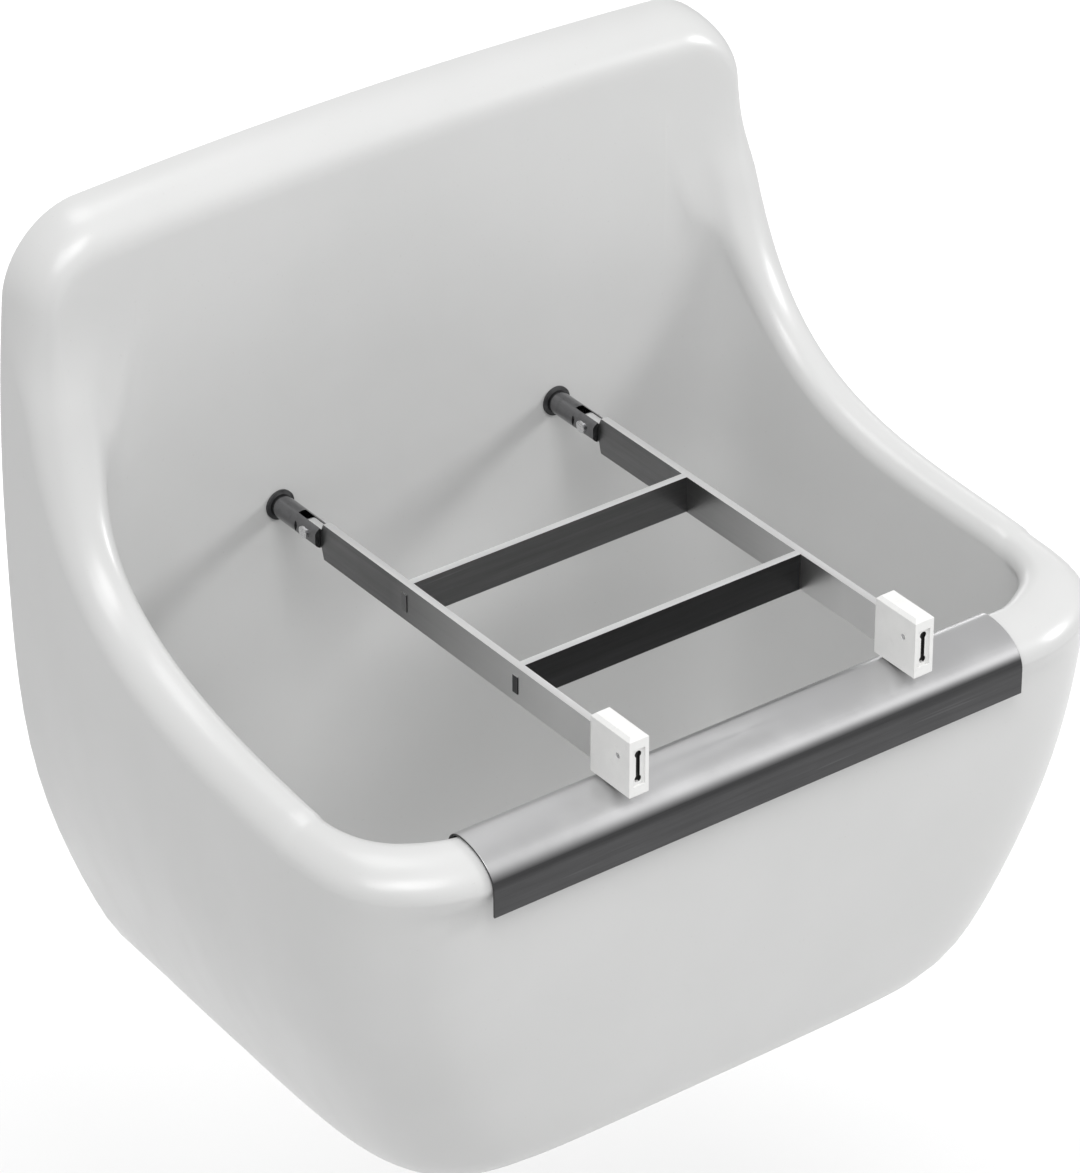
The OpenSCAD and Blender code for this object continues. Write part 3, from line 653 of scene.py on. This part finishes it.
# Slots in the buffers' front ends
SLOT_Y = -399.4
SLOT_Z = 21.3
SLOT_HALF_W = 2.7
SLOT_HALF_H = 10.6
SLOT_HALF_DEPTH = 1.1
# painted shade: near black colour for the slots in the buffers' front ends
SLOT_SHADE = (0.015, 0.015, 0.015)


# Materials
def new_material(name):
    material = bpy.data.materials.new(name)
    material.use_nodes = True
    return material, material.node_tree, material.node_tree.nodes["Principled BSDF"]


def stretched_coordinates(tree, stretch):
    """Object coordinates scaled on each axis, so that a texture is drawn out along the smallest."""
    where = tree.nodes.new("ShaderNodeTexCoord")
    scale = tree.nodes.new("ShaderNodeMapping")
    scale.inputs["Scale"].default_value = stretch
    tree.links.new(where.outputs["Object"], scale.inputs["Vector"])
    return scale.outputs["Vector"]


def noise(tree, vector, scale, detail=4, roughness=0.55):
    made = tree.nodes.new("ShaderNodeTexNoise")
    made.inputs["Scale"].default_value = scale
    made.inputs["Detail"].default_value = detail
    made.inputs["Roughness"].default_value = roughness
    tree.links.new(vector, made.inputs["Vector"])
    return made.outputs["Fac"]


def mapped(tree, value, low, high, to_low, to_high):
    made = tree.nodes.new("ShaderNodeMapRange")
    for key, number in zip(
        ("From Min", "From Max", "To Min", "To Max"), (low, high, to_low, to_high)
    ):
        made.inputs[key].default_value = number
    tree.links.new(value, made.inputs["Value"])
    return made.outputs["Result"]


def blended(tree, factor, dark, light):
    made = tree.nodes.new("ShaderNodeMix")
    made.data_type = "RGBA"
    for socket, colour in ((6, dark), (7, light)):
        if isinstance(colour, tuple):
            made.inputs[socket].default_value = (*colour, 1)
        else:
            tree.links.new(colour, made.inputs[socket])
    tree.links.new(factor, made.inputs[0])
    return made.outputs[2]


def add_bump(tree, shader, heights):
    """Chains bumps, each given as a height output, strength and distance in millimetres."""
    normal = None
    for height, strength, distance in heights:
        made = tree.nodes.new("ShaderNodeBump")
        made.inputs["Strength"].default_value = strength
        made.inputs["Distance"].default_value = distance * MM
        tree.links.new(height, made.inputs["Height"])
        if normal is not None:
            tree.links.new(normal, made.inputs["Normal"])
        normal = made.outputs["Normal"]
    tree.links.new(normal, shader.inputs["Normal"])


def ceramic():
    """White glaze: soft orange peel, faint clouding, a few pinholes and a worn film."""
    material, tree, shader = new_material("glazed_ceramic")
    place = stretched_coordinates(tree, (1, 1, 1))
    cloud = noise(tree, place, 7, detail=3)
    peel = noise(tree, place, 420, detail=2)
    sag = noise(tree, place, 22, detail=1)
    pin = noise(tree, place, 900, detail=0)
    tone = blended(
        tree, mapped(tree, cloud, 0.35, 0.65, 0, 1), (0.596, 0.598, 0.594), (0.616, 0.617, 0.614)
    )
    speck = mapped(tree, pin, 0.81, 0.85, 0, 0.25)
    tree.links.new(blended(tree, speck, tone, (0.45, 0.44, 0.42)), shader.inputs["Base Color"])
    film = noise(tree, stretched_coordinates(tree, (1, 1, 0.35)), 34, detail=5)
    tree.links.new(mapped(tree, film, 0.3, 0.75, 0.3, 0.4), shader.inputs["Roughness"])
    shader.inputs["IOR"].default_value = 1.5
    shader.inputs["Coat Weight"].default_value = 0.25
    shader.inputs["Coat Roughness"].default_value = 0.2
    add_bump(tree, shader, [(sag, 0.06, 0.4), (peel, 0.06, 0.03)])
    return material


def axis_parts(tree, output):
    """The X, Y and Z parts of an object-space texture coordinate."""
    where = tree.nodes.new("ShaderNodeTexCoord")
    parts = tree.nodes.new("ShaderNodeSeparateXYZ")
    tree.links.new(where.outputs[output], parts.inputs["Vector"])
    return parts.outputs


def calculated(tree, operation, *values):
    """A math node on sockets and numbers."""
    made = tree.nodes.new("ShaderNodeMath")
    made.operation = operation
    for socket, value in zip(made.inputs, values):
        if isinstance(value, (int, float)):
            socket.default_value = value
        else:
            tree.links.new(value, socket)
    return made.outputs[0]


def upward(tree):
    """One on faces that look up or down in the object's own frame, zero on upright faces."""
    steepness = calculated(tree, "ABSOLUTE", axis_parts(tree, "Normal")["Z"])
    return mapped(tree, steepness, 0.4, 0.8, 0, 1)


def toward_front(tree, start, end):
    """Zero behind one distance from the wall and one beyond another."""
    return mapped(tree, axis_parts(tree, "Object")["Y"], -start * MM, -end * MM, 0, 1)


def brushed_steel(name, colour, stretch, roughness, grain=0.35, top_highlight=None, front_light=None):
    """Steel with fine drawn-out grain, faint handling marks and a few longer scratches.

    Faces that look up or down may get a painted highlight, and the front ends painted light.
    """
    material, tree, shader = new_material(name)
    lines = noise(tree, stretched_coordinates(tree, stretch), 260, detail=4, roughness=0.7)
    plain = stretched_coordinates(tree, (1, 1, 1))
    blotch = noise(tree, plain, 26, detail=5)
    scratch = noise(tree, stretched_coordinates(tree, tuple(4 * s for s in stretch)), 90, detail=1)
    dark = tuple(c * (1 - grain) for c in colour)
    light = tuple(min(1, c * (1 + grain)) for c in colour)
    tone = blended(tree, mapped(tree, lines, 0.3, 0.7, 0, 1), dark, light)
    smudge = mapped(tree, blotch, 0.42, 0.7, 0, 0.15)
    tone = blended(tree, smudge, tone, tuple(c * 0.7 for c in colour))
    mark = mapped(tree, scratch, 0.72, 0.8, 0, 0.5)
    tone = blended(tree, mark, tone, tuple(min(1, c * 1.5) for c in colour))
    # painted light: lighter towards the front, between two distances from the wall
    if front_light is not None:
        tone = blended(tree, toward_front(tree, FRONT_LIGHT_FROM, FRONT_LIGHT_FULL), tone, front_light)
    # painted highlight on faces that look up or down
    if top_highlight is not None:
        tone = blended(tree, upward(tree), tone, top_highlight)
    tree.links.new(tone, shader.inputs["Base Color"])
    shader.inputs["Metallic"].default_value = 1
    tree.links.new(
        mapped(tree, blotch, 0.3, 0.75, roughness - 0.03, roughness + 0.05),
        shader.inputs["Roughness"],
    )
    shader.inputs["Anisotropic"].default_value = 0.3
    add_bump(tree, shader, [(lines, 0.25, 0.03), (scratch, 0.1, 0.03)])
    return material


def chrome(name, colour, roughness):
    """Plating with water spots, slight waviness and fine wiping marks."""
    material, tree, shader = new_material(name)
    place = stretched_coordinates(tree, (1, 1, 1))
    spots = noise(tree, place, 210, detail=3)
    wave = noise(tree, place, 60, detail=2)
    wipe = noise(tree, stretched_coordinates(tree, (1, 0.15, 1)), 700, detail=3)
    tone = blended(
        tree, mapped(tree, spots, 0.5, 0.72, 0, 0.6), colour, tuple(c * 0.72 for c in colour)
    )
    tree.links.new(tone, shader.inputs["Base Color"])
    shader.inputs["Metallic"].default_value = 1
    tree.links.new(
        mapped(tree, wipe, 0.35, 0.7, roughness, roughness + 0.14), shader.inputs["Roughness"]
    )
    add_bump(tree, shader, [(wave, 0.08, 0.1), (wipe, 0.06, 0.02)])
    return material


def in_slots(tree):
    """One inside the slots in the buffers' front ends, where the painted shade goes, zero elsewhere.
    """
    place = axis_parts(tree, "Object")
    from_middle = calculated(tree, "SUBTRACT", place["X"], GRATING_SHIFT * MM)
    across = calculated(tree, "ABSOLUTE", from_middle)
    limits = (
        (across, BAR_X, SLOT_HALF_W),
        (place["Y"], SLOT_Y, SLOT_HALF_DEPTH),
        (place["Z"], SLOT_Z, SLOT_HALF_H),
    )
    near = [calculated(tree, "COMPARE", v, middle * MM, reach * MM) for v, middle, reach in limits]
    return calculated(tree, "MULTIPLY", calculated(tree, "MULTIPLY", near[0], near[1]), near[2])


def plastic(name, colour, roughness, mould=0.1, slots=False):
    """Moulded plastic: fine spark-eroded grain, faint flow clouding and rubbed patches.

    The slots in the buffers may be coloured near black, as painted shade in these recesses.
    """
    material, tree, shader = new_material(name)
    place = stretched_coordinates(tree, (1, 1, 1))
    cloud = noise(tree, place, 70, detail=3)
    grain = noise(tree, place, 1500, detail=2)
    rub = noise(tree, place, 180, detail=4)
    tone = blended(
        tree, mapped(tree, cloud, 0.35, 0.7, 0, 1), tuple(c * 0.95 for c in colour), colour
    )
    scuff = mapped(tree, rub, 0.62, 0.72, 0, 0.18)
    tone = blended(tree, scuff, tone, tuple(c * 0.75 for c in colour))
    # painted shade inside the slots
    if slots:
        tone = blended(tree, in_slots(tree), tone, SLOT_SHADE)
    tree.links.new(tone, shader.inputs["Base Color"])
    tree.links.new(
        mapped(tree, rub, 0.3, 0.75, roughness + 0.06, roughness - 0.08),
        shader.inputs["Roughness"],
    )
    add_bump(tree, shader, [(grain, mould, 0.04), (cloud, 0.05, 0.1)])
    return material


def rubber(name, colour, roughness):
    """Rubber or silicone: dull, slightly powdery and a little uneven."""
    material, tree, shader = new_material(name)
    place = stretched_coordinates(tree, (1, 1, 1))
    bloom = noise(tree, place, 160, detail=4)
    grain = noise(tree, place, 1100, detail=3)
    tone = blended(
        tree, mapped(tree, bloom, 0.4, 0.75, 0, 0.5), colour,
        tuple(mix(c, 0.45, 0.25) for c in colour),
    )
    tree.links.new(tone, shader.inputs["Base Color"])
    tree.links.new(
        mapped(tree, bloom, 0.3, 0.7, roughness, roughness + 0.12), shader.inputs["Roughness"]
    )
    add_bump(tree, shader, [(grain, 0.2, 0.05)])
    return material


# painted light: the side bars grow lighter between these distances from the wall
FRONT_LIGHT_FROM = 160
FRONT_LIGHT_FULL = 330
ALONG_X = (0.03, 1, 1)
ALONG_Y = (1, 0.03, 1)
GLAZE = ceramic()
# painted highlights: colours for the top faces of the guard and the bars
GUARD_TOP_HIGHLIGHT = (0.62, 0.62, 0.625)
BAR_TOP_HIGHLIGHT = (0.88, 0.88, 0.88)
PAINTED_FRONT_LIGHT = (0.85, 0.85, 0.85)
SHEET_STEEL = brushed_steel("guard_steel", (0.09, 0.09, 0.092), ALONG_X, 0.36, 0.12, GUARD_TOP_HIGHLIGHT)
SIDE_STEEL = brushed_steel(
    "side_bar_steel", (0.2, 0.2, 0.202), ALONG_Y, 0.33, 0.12, BAR_TOP_HIGHLIGHT, PAINTED_FRONT_LIGHT
)
REAR_STEEL = brushed_steel("rear_bar_steel", (0.2, 0.2, 0.202), ALONG_X, 0.33, 0.12, BAR_TOP_HIGHLIGHT)
# painted shade: the front cross bar's steel is a darker copy of the rear bar's
SHADED_FRONT_STEEL = brushed_steel("front_bar_shaded_steel", (0.09, 0.09, 0.092), ALONG_X, 0.33, 0.12, BAR_TOP_HIGHLIGHT)
STUD_CHROME = chrome("stud_chrome", (0.2, 0.2, 0.205), 0.12)
WASTE_CHROME = chrome("waste_chrome", (0.72, 0.73, 0.74), 0.1)
FASTENER = chrome("fastener_steel", (0.78, 0.78, 0.79), 0.22)
WHITE_PLASTIC = plastic("white_plastic", (0.8, 0.8, 0.79), 0.42, slots=True)
DARK_PLASTIC = plastic("dark_plastic", (0.04, 0.04, 0.042), 0.5)
SILICONE = rubber("silicone", (0.72, 0.72, 0.7), 0.5)
BLACK_RUBBER = rubber("black_rubber", (0.022, 0.022, 0.024), 0.62)

NODE_LOOKS = {
    "guard_strips": (SILICONE, 0.2),
    "wall_bushes": (DARK_PLASTIC, 0.3),
    "hinge_stud_left": (STUD_CHROME, 0.5),
    "hinge_stud_right": (STUD_CHROME, 0.5),
    "hinge_pin_left": (FASTENER, 0.35),
    "hinge_pin_right": (FASTENER, 0.35),
    "stud_rosettes": (BLACK_RUBBER, 0.4),
    "stud_back_rubbers": (BLACK_RUBBER, 0.3),
    "stud_back_washers": (FASTENER, 0.2),
    "stud_nuts": (FASTENER, 0.4),
    "side_bar_left": (SIDE_STEEL, 0.45),
    "side_bar_right": (SIDE_STEEL, 0.45),
    "cross_bar_rear": (REAR_STEEL, 0.45),
    "cross_bar_front": (SHADED_FRONT_STEEL, 0.45),
    "buffer_left": (WHITE_PLASTIC, 0.5),
    "buffer_right": (WHITE_PLASTIC, 0.5),
    "buffer_pins": (FASTENER, 0.3),
    "waste_body": (WASTE_CHROME, 0.3),
    "waste_strainer": (WASTE_CHROME, 0.2),
    "strainer_screw": (FASTENER, 0.2),
    "waste_gasket_top": (BLACK_RUBBER, 0.2),
    "waste_gasket_bottom": (BLACK_RUBBER, 0.2),
    "waste_back_nut": (WASTE_CHROME, 0.4),
}


def paint(obj, material):
    """Puts one material on every face, through the object's own slots."""
    if not obj.material_slots:
        obj.data.materials.append(material)
    for slot in obj.material_slots:
        slot.link = "OBJECT"
        slot.material = material


def soften_edges(obj, width):
    """Rounds the sharp edges of a solid by a width in millimetres."""
    step = obj.modifiers.new("edges", "BEVEL")
    step.width = width * MM
    step.segments = 2
    step.limit_method = "ANGLE"
    step.angle_limit = math.radians(35)


def dress_nodes():
    for name, (material, width) in NODE_LOOKS.items():
        paint(nodes[name], material)
        soften_edges(nodes[name], width)


# Floor and light
FLOOR_Z = -0.75
LIGHT_DISTANCE = 3.2


def make_floor():
    mesh = bpy.data.meshes.new("floor")
    corners = [(-9, -9, FLOOR_Z), (9, -9, FLOOR_Z), (9, 9, FLOOR_Z), (-9, 9, FLOOR_Z)]
    mesh.from_pydata(corners, [], [(0, 1, 2, 3)])
    floor = bpy.data.objects.new("floor", mesh)
    bpy.context.collection.objects.link(floor)
    material, tree, shader = new_material("floor")
    shader.inputs["Base Color"].default_value = (0.76, 0.76, 0.76, 1)
    shader.inputs["Roughness"].default_value = 0.8
    mesh.materials.append(material)


def area_light(name, place, toward, size, power):
    data = bpy.data.lights.new(name, "AREA")
    data.shape = "RECTANGLE"
    data.size = size[0]
    data.size_y = size[1]
    data.energy = power
    light = bpy.data.objects.new(name, data)
    light.location = place
    light.rotation_euler = (Vector(place) - Vector(toward)).to_track_quat("Z", "Y").to_euler()
    bpy.context.collection.objects.link(light)


def light_from(name, direction, size, strength):
    """A square light that shines on the sink; a strength of one lights a facing surface as white."""
    middle = Vector((0, -0.2, 0))
    place = middle + Vector(direction).normalized() * LIGHT_DISTANCE
    power = strength * (math.pi * LIGHT_DISTANCE) ** 2
    area_light(name, place, middle, (size, size), power)


def make_light():
    world = bpy.data.worlds.new("world")
    world.use_nodes = True
    background = world.node_tree.nodes["Background"]
    background.inputs["Color"].default_value = (1, 1, 1, 1)
    background.inputs["Strength"].default_value = 0.6
    bpy.context.scene.world = world
    light_from("right", (0.81, -0.47, 0.36), 0.8, 0.35)
    light_from("upper_left", (-0.56, -0.32, 0.77), 1.3, 0.22)
    light_from("upper_front", (-0.2, -0.5, 0.84), 1.3, 0.34)
    light_from("top", (0.1, 0.35, 0.94), 1.3, 0.16)
    area_light("floor_wash", (0.95, 1.15, 0.2), (0.95, 1.15, FLOOR_Z), (1.5, 1.5), 17)
    bpy.context.scene.view_settings.view_transform = "Standard"


make_camera()
basin = make_basin()
paint(basin, GLAZE)
guard = make_guard()
paint(guard, SHEET_STEEL)
dress_nodes()
make_floor()
make_light()
